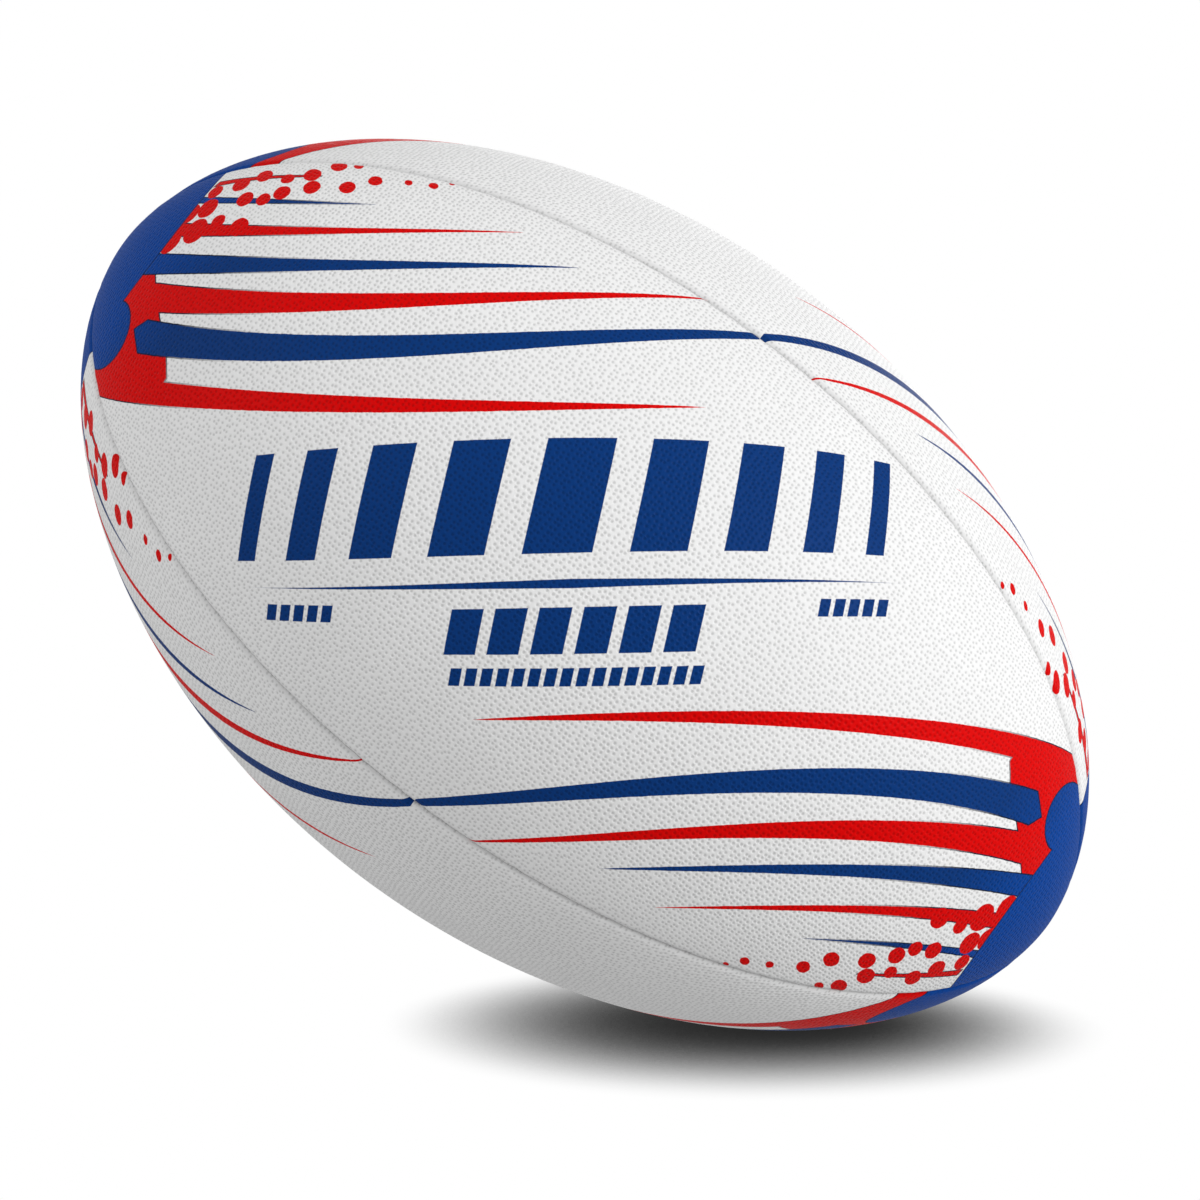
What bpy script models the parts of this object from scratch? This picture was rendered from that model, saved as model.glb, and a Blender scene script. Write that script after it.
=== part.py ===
"""A size 5 rugby ball as its separate pieces.

Four pebbled rubber skins make the outside. Behind each skin lie two fabric plies, and
the inner one, the lining, has edges turned in to make the seam flanges. A waxed thread
saddle-stitches each pair of flanges. The bladder lies inside, grooved where the flanges
press into it, and its valve comes out through the middle of the back panel.

Units are metres. X is the long axis, the front panel faces -Y, the valve faces +Y, and
the origin is the ball's centre. A depth is measured inwards from the outer surface,
square to the profile. An angle is measured round X from -Y towards +Z.
"""

import math

import bmesh
import bpy
from mathutils import Vector

# The outside. A power of 0.5 would make the profile a true ellipse, and a little more
# makes the ends more pointed.
LENGTH = 0.292
DIAMETER = 0.186
PROFILE_POWER = 0.55
TIP_RADIUS = 0.0015  # the panels' points stop this far from the axis

# The mesh of every sheet, so that the facets of one layer nest in the next.
COLUMNS = 20
HALF_ROWS = 3

# The layers, from the outside in.
CLEARANCE = 0.0003  # between two pieces that touch
SEAM_GAP = 0.00025  # from a skin's edge to the middle of the seam
SKIN_THICKNESS = 0.0013
PLY_THICKNESS = 0.0006
BLADDER_THICKNESS = 0.0008
PLY_DEPTH = SKIN_THICKNESS + CLEARANCE
LINING_DEPTH = PLY_DEPTH + PLY_THICKNESS + CLEARANCE
PATCH_DEPTH = LINING_DEPTH + PLY_THICKNESS + CLEARANCE
BLADDER_DEPTH = PATCH_DEPTH + 0.0001
PLY_TRIM = 0.16  # the part of the end column that the plies stop short of

# The seam flanges, their stitch holes and the thread.
FLANGE_WIDTH = 0.0072
FULL_FLANGE_RADIUS = 0.0215  # nearer the axis than this, the flanges get narrower
HOLE_ALONG = 0.0018
HOLE_ACROSS = 0.0023
THREAD_RADIUS = 0.00035
THREAD_SPREAD = 0.0005  # from the middle of a hole to each of the thread's two passes
THREAD_SIDE = CLEARANCE + PLY_THICKNESS + 0.0002 + THREAD_RADIUS
THREAD_TAIL = 0.003  # past the last hole

# The bladder's grooves, one under each seam, and its dimple round the valve.
GROOVE_CLEARANCE = 0.0024
GROOVE_HALF_WIDTH = 0.005
GROOVE_SHARE = 0.8  # of the outermost row's width, where that is narrower
DIMPLE_DEPTH = 0.0052
BLADDER_TIP_DEPTH = 0.005

# The valve. Each outline is a list of (radius, depth) round one half of the section.
VALVE_SIDES = 16
SKIN_HOLE_RADIUS = 0.0046
PLY_HOLE_RADIUS = 0.006
PATCH_RADIUS = 0.012
NOSE_DEPTH = 0.00025
NOSE_RADIUS = 0.0036
STEM_RADIUS = 0.005
STEM_TOP = 0.0024
STEM_BOTTOM = 0.015
FLANGE_RADIUS = 0.0105
FLANGE_TOP = 0.0074
FLANGE_BOTTOM = 0.0089
BORE_RADIUS = 0.0026
CHAMBER_RADIUS = 0.0036
CHAMBER_TOP = 0.006
CHAMBER_BOTTOM = 0.0095
PLUG_RADIUS = 0.0022
PLUG_TOP = 0.0007
PLUG_BOTTOM = 0.0142
BULB_RADIUS = 0.0032
BULB_TOP = 0.0066
BULB_BOTTOM = 0.0089
BULB_CHAMFER = 0.0002
NEEDLE_RADIUS = 0.0006

PANELS = {"front": 0, "top": 90, "back": 180, "bottom": 270}
VALVE_PANEL = "back"
SEAMS = {"front_top": 45, "back_top": 135, "back_bottom": 225, "front_bottom": 315}

HALF_LENGTH = LENGTH / 2
RADIUS = DIAMETER / 2
HALF_PANEL = math.radians(45)
LAST_TURN = math.acos((TIP_RADIUS / RADIUS) ** (0.5 / PROFILE_POWER))
MIDDLE_COLUMN = COLUMNS // 2
# The vertices round a sheet's middle vertex, anticlockwise from the outside.
AROUND = ((-1, -1), (0, -1), (1, -1), (1, 0), (1, 1), (0, 1), (-1, 1), (-1, 0))


def clear_scene():
    for obj in list(bpy.data.objects):
        bpy.data.objects.remove(obj)


def material(name, color, roughness):
    made = bpy.data.materials.new(name)
    made.use_nodes = True
    shader = made.node_tree.nodes["Principled BSDF"]
    shader.inputs["Base Color"].default_value = (*color, 1)
    shader.inputs["Roughness"].default_value = roughness
    shader.inputs["Metallic"].default_value = 0
    return made


def add_object(name, data, surface, turn=0):
    """Links a mesh or curve as a piece, turned round X by this many degrees."""
    obj = bpy.data.objects.new(name, data)
    obj.rotation_euler.x = math.radians(turn)
    if not data.materials:
        data.materials.append(surface)
    bpy.context.scene.collection.objects.link(obj)
    return obj


def finish_mesh(name, bm):
    mesh = bpy.data.meshes.new(name)
    bm.to_mesh(mesh)
    bm.free()
    mesh.shade_smooth()
    mesh.set_sharp_from_angle(angle=math.radians(40))
    return mesh


def thicken(obj, thickness):
    """Gives a sheet its thickness, all of it inwards."""
    modifier = obj.modifiers.new("Thickness", "SOLIDIFY")
    modifier.thickness = thickness
    modifier.offset = -1
    modifier.use_even_offset = True
    modifier.use_quality_normals = True


# The profile


def station(column, depth):
    """The profile's point at this column, as (along X, away from X)."""
    turn = LAST_TURN * (2 * column / COLUMNS - 1)
    power = 2 * PROFILE_POWER
    along = HALF_LENGTH * math.sin(turn)
    away = RADIUS * math.cos(turn) ** power
    along_rate = HALF_LENGTH * math.cos(turn)
    away_rate = -power * RADIUS * math.cos(turn) ** (power - 1) * math.sin(turn)
    outward = Vector((-away_rate, along_rate)).normalized()
    return Vector((along, away)) - depth * outward


def trimmed_station(column, depth, trim):
    """The same, with the first and last columns shortened along their facets."""
    inner_column = min(max(column, 1), COLUMNS - 1)
    return station(column, depth).lerp(station(inner_column, depth), trim)


def flange_depth(column):
    """How deep the lining's turned-in edge reaches at this column."""
    away = trimmed_station(column, LINING_DEPTH, PLY_TRIM).y
    return LINING_DEPTH + FLANGE_WIDTH * min(1, away / FULL_FLANGE_RADIUS)


def at_angle(point, angle):
    along, away = point
    return Vector((along, -away * math.cos(angle), away * math.sin(angle)))


def edge_angle(away, gap):
    """The angle from a panel's middle to a line this far from the seam's plane."""
    return HALF_PANEL - math.asin(gap / away)


# Sheets


def panel_rows(bm, depth, gap, trim):
    """A panel's vertices, one list for each column, facing -Y."""
    rows = []
    for column in range(COLUMNS + 1):
        point = trimmed_station(column, depth, trim)
        widest = edge_angle(point.y, gap)
        angles = [widest * row / HALF_ROWS for row in range(-HALF_ROWS, HALF_ROWS + 1)]
        rows.append([bm.verts.new(at_angle(point, angle)) for angle in angles])
    return rows


def fold_edges(bm, rows, gap, trim):
    """Adds the free edge of the flange at both ends of each column's list."""
    for column, row in enumerate(rows):
        point = trimmed_station(column, flange_depth(column), trim)
        widest = edge_angle(point.y, gap)
        row.insert(0, bm.verts.new(at_angle(point, -widest)))
        row.append(bm.verts.new(at_angle(point, widest)))


def cell(rows, column, row):
    """The four corners of a cell, anticlockwise from the outside."""
    near, far = rows[column], rows[column + 1]
    following = (row + 1) % len(near)
    return near[row], far[row], far[following], near[following]


def fill_holed_cell(bm, corners):
    """Fills a flange's cell round a stitch hole in its middle."""
    start, end, end_far, start_far = [corner.co for corner in corners]
    length = (end - start + end_far - start_far).length / 2
    width = (start_far - start + end_far - end).length / 2
    along, across = HOLE_ALONG / length / 2, HOLE_ACROSS / width / 2
    hole = []
    for u, v in ((-along, -across), (along, -across), (along, across), (-along, across)):
        first = start.lerp(end, 0.5 + u)
        second = start_far.lerp(end_far, 0.5 + u)
        hole.append(bm.verts.new(first.lerp(second, 0.5 + v)))
    for here in range(4):
        there = (here + 1) % 4
        bm.faces.new((corners[here], corners[there], hole[there], hole[here]))


def fill_cells(bm, rows, row_numbers):
    for column in range(COLUMNS):
        for row in row_numbers:
            bm.faces.new(cell(rows, column, row))


def ring(bm, middle, around, radius):
    """Vertices on the lines from the valve's axis to those around it."""
    made = []
    for vertex in around:
        reach = math.hypot(vertex.co.x, vertex.co.z)
        made.append(bm.verts.new(middle.co.lerp(vertex.co, radius / reach)))
    return made


def bridge(bm, outer, inner):
    for here in range(len(outer)):
        there = (here + 1) % len(outer)
        bm.faces.new((outer[here], outer[there], inner[there], inner[here]))


def cut_valve_hole(bm, rows, middle_row, radius):
    """Opens the sheet round its middle vertex."""
    middle = rows[MIDDLE_COLUMN][middle_row]
    around = [rows[MIDDLE_COLUMN + i][middle_row + j] for i, j in AROUND]
    inner = ring(bm, middle, around, radius)
    bm.verts.remove(middle)
    bridge(bm, around, inner)


def flat_layer_mesh(name, depth, gap, trim, hole_radius):
    """A skin or an outer ply. A hole radius of 0 leaves it whole."""
    bm = bmesh.new()
    rows = panel_rows(bm, depth, gap, trim)
    fill_cells(bm, rows, range(2 * HALF_ROWS))
    if hole_radius:
        cut_valve_hole(bm, rows, HALF_ROWS, hole_radius)
    return finish_mesh(name, bm)


def lining_mesh(name, hole_radius):
    """The inner ply, with its turned-in edges and their stitch holes."""
    bm = bmesh.new()
    rows = panel_rows(bm, LINING_DEPTH, CLEARANCE, PLY_TRIM)
    fold_edges(bm, rows, CLEARANCE, PLY_TRIM)
    last_row = 2 * HALF_ROWS + 1
    fill_cells(bm, rows, range(1, last_row))
    for column in range(COLUMNS):
        for row in (0, last_row):
            corners = cell(rows, column, row)
            if 0 < column < COLUMNS - 1:
                fill_holed_cell(bm, corners)
            else:
                bm.faces.new(corners)
    if hole_radius:
        cut_valve_hole(bm, rows, HALF_ROWS + 1, hole_radius)
    return finish_mesh(name, bm)


def patch_mesh(name):
    """The ring that is glued behind the lining, round the valve."""
    bm = bmesh.new()
    rows = panel_rows(bm, PATCH_DEPTH, CLEARANCE, PLY_TRIM)
    middle = rows[MIDDLE_COLUMN][HALF_ROWS]
    around = [rows[MIDDLE_COLUMN + i][HALF_ROWS + j] for i, j in AROUND]
    outer = ring(bm, middle, around, PATCH_RADIUS)
    inner = ring(bm, middle, around, PLY_HOLE_RADIUS)
    bridge(bm, outer, inner)
    bmesh.ops.delete(bm, geom=[v for v in bm.verts if not v.link_faces], context="VERTS")
    return finish_mesh(name, bm)


# Panels


def build_panels(skin_surface, ply_surface, lining_surface):
    layers = {}
    for hole in (False, True):
        suffix = "_with_valve_hole" if hole else ""
        skin_hole = SKIN_HOLE_RADIUS if hole else 0
        ply_hole = PLY_HOLE_RADIUS if hole else 0
        layers[hole] = (
            flat_layer_mesh("skin" + suffix, 0, SEAM_GAP, 0, skin_hole),
            flat_layer_mesh("ply" + suffix, PLY_DEPTH, CLEARANCE, PLY_TRIM, ply_hole),
            lining_mesh("lining" + suffix, ply_hole),
        )
    for panel, angle in PANELS.items():
        skin, ply, lining = layers[panel == VALVE_PANEL]
        made = add_object(f"panel_{panel}_skin", skin, skin_surface, -angle)
        thicken(made, SKIN_THICKNESS)
        made = add_object(f"panel_{panel}_outer_ply", ply, ply_surface, -angle)
        thicken(made, PLY_THICKNESS)
        made = add_object(f"panel_{panel}_lining", lining, lining_surface, -angle)
        thicken(made, PLY_THICKNESS)


# Seams


def stitch_hole(column):
    """The middle of the stitch hole in this column, as (along X, away from X)."""
    middle = Vector((0, 0))
    for end in (column, column + 1):
        depth = (LINING_DEPTH + flange_depth(end)) / 2
        middle += trimmed_station(end, depth, PLY_TRIM) / 2
    return middle


def saddle_stitch():
    """The thread's route in a seam that faces -Y: out along one half and back.

    Each half of the thread changes sides at every hole, and the two halves are always
    on opposite sides. They are one thread, which turns round in the first hole.
    """
    holes = [stitch_hole(column) for column in range(1, COLUMNS - 1)]
    last = len(holes) - 1
    sides = [1 if number % 2 else -1 for number in range(len(holes))]

    def point(number, side, spread):
        along, away = holes[number]
        return Vector((along, -away - spread, side * THREAD_SIDE))

    onward = (holes[last] - holes[last - 1]).normalized() * THREAD_TAIL
    tail = Vector((onward.x, -onward.y, 0))
    first_half = [point(last, sides[last], THREAD_SPREAD) + tail]
    for number in range(last, 0, -1):
        first_half.append(point(number, sides[number], THREAD_SPREAD))
        first_half.append(point(number, sides[number - 1], THREAD_SPREAD))
    first_half.append(point(0, sides[0], THREAD_SPREAD))
    second_half = [point(0, -sides[0], -THREAD_SPREAD)]
    for number in range(1, last + 1):
        second_half.append(point(number, -sides[number - 1], -THREAD_SPREAD))
        second_half.append(point(number, -sides[number], -THREAD_SPREAD))
    second_half.append(point(last, -sides[last], -THREAD_SPREAD) + tail)
    return first_half + second_half


def build_threads(surface):
    route = saddle_stitch()
    curve = bpy.data.curves.new("seam_thread", "CURVE")
    curve.dimensions = "3D"
    curve.bevel_depth = THREAD_RADIUS
    curve.bevel_resolution = 0
    curve.use_fill_caps = True
    spline = curve.splines.new("POLY")
    spline.points.add(len(route) - 1)
    for target, position in zip(spline.points, route):
        target.co = (*position, 1)
    for seam, angle in SEAMS.items():
        add_object(f"seam_thread_{seam}", curve, surface, -angle)


# Bladder


def bladder_ring(bm, column):
    """One column's vertices all the way round, from the seam below the valve.

    The groove's two shoulders lie on the flat facets of the lining outside them.
    """
    surface = station(column, BLADDER_DEPTH)
    groove = station(column, flange_depth(column) + GROOVE_CLEARANCE)
    step = HALF_PANEL / HALF_ROWS
    share = min(GROOVE_HALF_WIDTH / (surface.y * math.sin(step)), GROOVE_SHARE)
    made = []
    for quarter in range(4):
        middle = quarter * 2 * HALF_PANEL
        angles = [middle + step * row for row in range(-HALF_ROWS, HALF_ROWS + 1)]
        facets = [at_angle(surface, angle) for angle in angles]
        first_shoulder = facets[0].lerp(facets[1], share)
        last_shoulder = facets[-1].lerp(facets[-2], share)
        bottom = at_angle(groove, angles[0])
        for point in (bottom, first_shoulder, *facets[1:-1], last_shoulder):
            made.append(bm.verts.new(point))
    return made


def build_bladder(surface):
    bm = bmesh.new()
    rings = [bladder_ring(bm, column) for column in range(1, COLUMNS)]
    for column in range(len(rings) - 1):
        for row in range(len(rings[0])):
            bm.faces.new(cell(rings, column, row))
    tip = HALF_LENGTH - BLADDER_TIP_DEPTH
    for end, loop in ((-tip, rings[0]), (tip, list(reversed(rings[-1])))):
        pole = bm.verts.new((end, 0, 0))
        for here, there in zip(loop, loop[1:] + loop[:1]):
            bm.faces.new((here, there, pole))
    middle_row = HALF_ROWS + 1
    rows = [None, *rings]
    rows[MIDDLE_COLUMN][middle_row].co.y += DIMPLE_DEPTH - BLADDER_DEPTH
    cut_valve_hole(bm, rows, middle_row, PLY_HOLE_RADIUS)
    made = add_object("bladder", finish_mesh("bladder", bm), surface, -PANELS[VALVE_PANEL])
    thicken(made, BLADDER_THICKNESS)


# Valve


def turned_piece(name, outline, surface):
    """A closed outline of (radius, depth) turned round the valve's axis."""
    bm = bmesh.new()
    points = [bm.verts.new((away, 0, RADIUS - depth)) for away, depth in outline]
    for here, there in zip(points, points[1:] + points[:1]):
        bm.edges.new((here, there))
    bmesh.ops.spin(
        bm,
        geom=bm.verts[:] + bm.edges[:],
        axis=(0, 0, 1),
        cent=(0, 0, 0),
        angle=2 * math.pi,
        steps=VALVE_SIDES,
        use_merge=True,
    )
    bmesh.ops.recalc_face_normals(bm, faces=bm.faces[:])
    add_object(name, finish_mesh(name, bm), surface, -90)


def build_valve(housing_surface, plug_surface, patch_surface):
    housing = [
        (NOSE_RADIUS, NOSE_DEPTH),
        (NOSE_RADIUS, STEM_TOP),
        (STEM_RADIUS, STEM_TOP),
        (STEM_RADIUS, FLANGE_TOP),
        (FLANGE_RADIUS, FLANGE_TOP),
        (FLANGE_RADIUS, FLANGE_BOTTOM),
        (STEM_RADIUS, FLANGE_BOTTOM),
        (STEM_RADIUS, STEM_BOTTOM),
        (BORE_RADIUS, STEM_BOTTOM),
        (BORE_RADIUS, CHAMBER_BOTTOM),
        (CHAMBER_RADIUS, CHAMBER_BOTTOM),
        (CHAMBER_RADIUS, CHAMBER_TOP),
        (BORE_RADIUS, CHAMBER_TOP),
        (BORE_RADIUS, NOSE_DEPTH),
    ]
    plug = [
        (PLUG_RADIUS, PLUG_TOP),
        (PLUG_RADIUS, BULB_TOP - BULB_CHAMFER),
        (BULB_RADIUS, BULB_TOP),
        (BULB_RADIUS, BULB_BOTTOM),
        (PLUG_RADIUS, BULB_BOTTOM + BULB_CHAMFER),
        (PLUG_RADIUS, PLUG_BOTTOM),
        (NEEDLE_RADIUS, PLUG_BOTTOM),
        (NEEDLE_RADIUS, PLUG_TOP),
    ]
    turned_piece("valve_housing", housing, housing_surface)
    turned_piece("valve_plug", plug, plug_surface)
    turn = -PANELS[VALVE_PANEL]
    patch = add_object("valve_patch", patch_mesh("valve_patch"), patch_surface, turn)
    thicken(patch, PLY_THICKNESS)


def main():
    clear_scene()
    build_panels(
        material("white_rubber", (0.86, 0.87, 0.88), 0.45),
        material("outer_ply_fabric", (0.78, 0.75, 0.68), 0.9),
        material("lining_fabric", (0.70, 0.68, 0.62), 0.9),
    )
    build_threads(material("waxed_thread", (0.88, 0.87, 0.82), 0.6))
    build_bladder(material("butyl_rubber", (0.03, 0.03, 0.035), 0.5))
    build_valve(
        material("valve_rubber", (0.05, 0.05, 0.055), 0.5),
        material("plug_rubber", (0.10, 0.10, 0.11), 0.45),
        material("patch_fabric", (0.62, 0.60, 0.55), 0.9),
    )


main()
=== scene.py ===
"""The looks of a size 5 rugby ball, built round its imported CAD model.

The four rubber skins are rebuilt as smooth closed shells with rounded seams and a printed,
pitted surface, and the valve is turned again with fine edges. Every other CAD piece keeps
its shape and gets a procedural material.

Units are metres, but the print is laid out in millimetres on each panel's own map: s runs
along the panel from its middle, following the surface, and t runs across it, round the
long axis. Both are zero at the panel's centre.
"""

import math
import random

import bmesh
import bpy
import numpy as np
from mathutils import Matrix, Vector


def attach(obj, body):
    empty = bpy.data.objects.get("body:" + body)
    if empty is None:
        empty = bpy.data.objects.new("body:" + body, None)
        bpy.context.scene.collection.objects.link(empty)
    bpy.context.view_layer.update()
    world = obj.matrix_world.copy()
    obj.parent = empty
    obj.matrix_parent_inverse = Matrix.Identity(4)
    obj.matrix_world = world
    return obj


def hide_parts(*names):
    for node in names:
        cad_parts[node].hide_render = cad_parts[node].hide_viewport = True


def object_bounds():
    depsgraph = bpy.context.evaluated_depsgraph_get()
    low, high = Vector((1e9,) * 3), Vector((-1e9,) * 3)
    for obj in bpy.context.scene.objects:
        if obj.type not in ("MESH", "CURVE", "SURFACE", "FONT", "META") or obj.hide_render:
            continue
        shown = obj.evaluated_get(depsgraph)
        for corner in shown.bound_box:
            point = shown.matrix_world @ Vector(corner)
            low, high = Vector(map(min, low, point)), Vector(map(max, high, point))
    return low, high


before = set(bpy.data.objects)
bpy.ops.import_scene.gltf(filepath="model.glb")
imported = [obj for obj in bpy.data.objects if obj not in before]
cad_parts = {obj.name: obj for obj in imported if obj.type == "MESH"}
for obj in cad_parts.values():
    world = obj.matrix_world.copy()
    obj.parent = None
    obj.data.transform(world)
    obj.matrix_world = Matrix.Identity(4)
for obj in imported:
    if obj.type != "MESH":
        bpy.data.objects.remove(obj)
CAD_LOW, CAD_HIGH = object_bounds()

# The profile, as in the CAD. A power of 0.5 would make it a true ellipse.
PROFILE_POWER = 0.55
CAD_TIP_RADIUS = 0.0015
RADIUS = CAD_HIGH.z
HALF_LENGTH = CAD_HIGH.x / math.sqrt(1 - (CAD_TIP_RADIUS / RADIUS) ** (1 / PROFILE_POWER))
TIP_RADIUS = 0.0004
LAST_TURN = math.acos((TIP_RADIUS / RADIUS) ** (0.5 / PROFILE_POWER))
HALF_PANEL = math.radians(45)

# The panels' mesh.
COLUMNS = 152
MIDDLE_ROWS = 20
SHOULDER_ROWS = 8
EDGE_ROW = MIDDLE_ROWS + SHOULDER_ROWS
SKIN_THICKNESS = 0.0013
SEAM_GAP = 0.0001
SHOULDER_WIDTH = 0.0017
SHOULDER_DEPTH = 0.001
SHOULDER_SHARE = 0.45  # of the panel's half width, where that is narrower
PILLOW_DEPTH = 0.00025
PILLOW_REACH = 0.006
PUCKER = 0.16  # how much the stitches deepen and flatten the seam in turn
PUCKER_PITCH = 0.0064
PANEL_SHARP_ANGLE = math.radians(50)

# The valve hole. Its corners run from the surface round it to the inside of the skin, as
# (radius, depth, size of the corner's rounding), like the valve's own corners further down.
ARC_STEPS = 4
HOLE_COLUMNS = 3
HOLE_ROWS = 2
HOLE_SPLITS = 3
HOLE_RADIUS = 0.0046
HOLE_ROUNDING = 0.0006
HOLE_RIM_RADIUS = 0.0066
HOLE_CORNERS = (
    (HOLE_RIM_RADIUS, 0, 0),
    (HOLE_RADIUS, 0, HOLE_ROUNDING),
    (HOLE_RADIUS, SKIN_THICKNESS, 0),
    (HOLE_RIM_RADIUS, SKIN_THICKNESS, 0),
)

# Where the skin is smooth: this far from a seam and from the valve's middle, in metres, and
# then the distance over which the grip comes in.
SMOOTH_BY_SEAM = 0.0006
SEAM_FADE = 0.0012
SMOOTH_BY_VALVE = 0.0062
VALVE_FADE = 0.0015
FAR_FROM_SEAM = 1.0

LENGTH_SAMPLES = 4000  # along the profile, from its middle to a tip

# Each panel's turn about the long axis, in degrees.
PANELS = {"front": 0, "top": 90, "back": 180, "bottom": 270}
VALVE_PANEL = "back"

MM = 1000  # millimetres in a metre
NOISE_RANGE = (0.3, 0.7)  # where most of a noise's values lie


# Shader arithmetic


class Term:
    """A number that shader nodes work out at every point of a surface."""

    def __init__(self, tree, socket):
        self.tree = tree
        self.socket = socket

    def apply(self, operation, *others):
        node = self.tree.nodes.new("ShaderNodeMath")
        node.operation = operation
        for slot, term in zip(node.inputs, (self, *others)):
            if isinstance(term, Term):
                self.tree.links.new(term.socket, slot)
            else:
                slot.default_value = term
        return Term(self.tree, node.outputs["Value"])

    def __add__(self, other):
        return self.apply("ADD", other)

    def __sub__(self, other):
        return self.apply("SUBTRACT", other)

    def __mul__(self, other):
        return self.apply("MULTIPLY", other)

    def __neg__(self):
        return self.apply("MULTIPLY", -1)

    def least(self, other):
        return self.apply("MINIMUM", other)

    def most(self, other):
        return self.apply("MAXIMUM", other)

    def size(self):
        return self.apply("ABSOLUTE")


def ramp(term, start, end, low=0, high=1, smooth=False):
    """Low up to start, high past end, and even between them."""
    node = term.tree.nodes.new("ShaderNodeMapRange")
    node.interpolation_type = "SMOOTHSTEP" if smooth else "LINEAR"
    term.tree.links.new(term.socket, node.inputs["Value"])
    node.inputs["From Min"].default_value = start
    node.inputs["From Max"].default_value = end
    node.inputs["To Min"].default_value = low
    node.inputs["To Max"].default_value = high
    return Term(term.tree, node.outputs["Result"])


def mix(tree, share, under, over):
    """One colour over another. A colour is a socket or three numbers."""
    node = tree.nodes.new("ShaderNodeMix")
    node.data_type = "RGBA"
    tree.links.new(share.socket, node.inputs[0])
    for slot, color in ((node.inputs[6], under), (node.inputs[7], over)):
        if isinstance(color, tuple):
            slot.default_value = (*color, 1)
        else:
            tree.links.new(color, slot)
    return node.outputs[2]


def noise(tree, vector, scale, detail=2.0, roughness=0.5):
    node = tree.nodes.new("ShaderNodeTexNoise")
    node.inputs["Scale"].default_value = scale
    node.inputs["Detail"].default_value = detail
    node.inputs["Roughness"].default_value = roughness
    tree.links.new(vector, node.inputs["Vector"])
    return Term(tree, node.outputs["Fac"])


def union(distances):
    joined = distances[0]
    for distance in distances[1:]:
        joined = joined.least(distance)
    return joined


def new_material(name):
    made = bpy.data.materials.new(name)
    made.use_nodes = True
    tree = made.node_tree
    return made, tree, tree.nodes["Principled BSDF"]


def add_bump(tree, shader, height, distance):
    node = tree.nodes.new("ShaderNodeBump")
    node.inputs["Strength"].default_value = 1.0
    node.inputs["Distance"].default_value = distance
    tree.links.new(height.socket, node.inputs["Height"])
    tree.links.new(node.outputs["Normal"], shader.inputs["Normal"])


# The print

WHITE = (0.80, 0.80, 0.80)
RED = (0.65, 0.001, 0.001)
BLUE = (0.003, 0.036, 0.175)
END_BLUE = (0.001, 0.05, 0.28)
BLUE_FADE = 25  # mm, over which the blue brightens towards the end
OUTLINE = (0.004, 0.010, 0.03)
INK_BLUR = 0.12  # mm, how soft a printed edge is
RAGGED = 0.3  # mm, how far noise moves a printed edge
RAGGED_SCALE = 0.5
RAGGED_DOTS = 2  # a dot's edge moves this many times as far
RAGGED_GRAPHIC = 0.4  # and the middle graphic's this many times
OUTLINE_WIDTH = 0.35  # mm
OUTLINE_REACH = -104  # the outlines are printed only near the ends
OUTLINE_FADE = 24  # mm, over which they fade out

# The print is the same after half a turn, so only its left half is laid out here. A stripe
# follows the parabola through three points (s, t), and narrows from its first width to its
# last, slowly at first.
STRIPE_TAPER = 0.7
RED_STRIPES = (
    ((-142, 7), (-100, 25), (-58, 56), 4, 0),
    ((-136, -11), (-84, 12), (-12, 76), 8, 0),
    ((-148, -41), (-64, -4), (0, 44), 8, 0),
    ((-142, 24), (-127, 32), (-112, 40), 2, 0),
)
BLUE_STRIPES = (
    ((-143, 17), (-118, 26), (-92, 40), 2, 0),
    ((-144, -4), (-98, 15), (-42, 56), 6, 0),
    ((-131, -20), (-64, 12), (0, 73), 9, 3),
)
# The straight cuts that point the widest blue stripe's outer end. Each is a line with the
# stripe on its left.
BLUE_POINT_CUTS = (((-126, -14), (-129, -18)), ((-129, -18), (-123, -22)))
# Convex outlines, with their corners anticlockwise.
RED_BLOCKS = (
    ((-148, -20), (-127, -20), (-122, -13), (-136, -4), (-148, -4)),
    ((-148, -41), (-109, -27), (-109, -23), (-114, -18), (-124, -15), (-148, -15)),
)
# The blue end is a parabola across the panel, with one round lobe.
BLUE_END_PLACE = -140
BLUE_END_BEND = 0.006
BLUE_LOBE = (-140, -24, 10)  # s, t, radius
# The red dots stand in loose rows that climb away from the end and shrink as they go.
DOT_START = (-140, 3)  # the first row's first place
DOT_COUNTS = (4, 12, 11)  # the number in each row
DOT_ROW_GAP = 9.5
DOT_PITCH = 6
DOT_CLIMB = 0.8
DOT_RADIUS = 4.2
DOT_LAST_RADIUS = 0.7
DOT_SCATTER = 2  # mm, how far a dot may stand off its row's even spacing
SMALLEST_SHARE = 0.6  # of the full size at its place
DOT_SEED = 5

# The middle graphic: slanted bars on lines that climb towards the right.
GRAPHIC_SLOPE = math.radians(38)
LEAN = 0.25  # how far a bar leans for each unit of its height
BIG_BARS = 5  # from the middle bar outwards
BIG_BAR_WIDTH = 15
BIG_BAR_STEP = 2.6  # each bar is this much narrower than the one inside it
BIG_BAR_GAP = 8
BIG_MIDDLE = (-4, 14)  # along the lines, and above them
BIG_HEIGHT = 25
UNDERLINE = (-4, -5, 142, 2)  # middle, level, length, width in its middle
# Rows of equal bars: (middle, level, height, bars, pitch, bar width).
BAR_ROWS = (
    (-4, -15, 10, 6, 9.5, 7),
    (-4, -25, 4, 16, 3.5, 2.5),
    (-66, -11, 4, 5, 3.5, 2.5),
    (58, -11, 4, 5, 3.5, 2.5),
)
VALVE_CLEARING = 9.5  # mm, the middle graphic stops this far from the valve's middle

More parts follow.
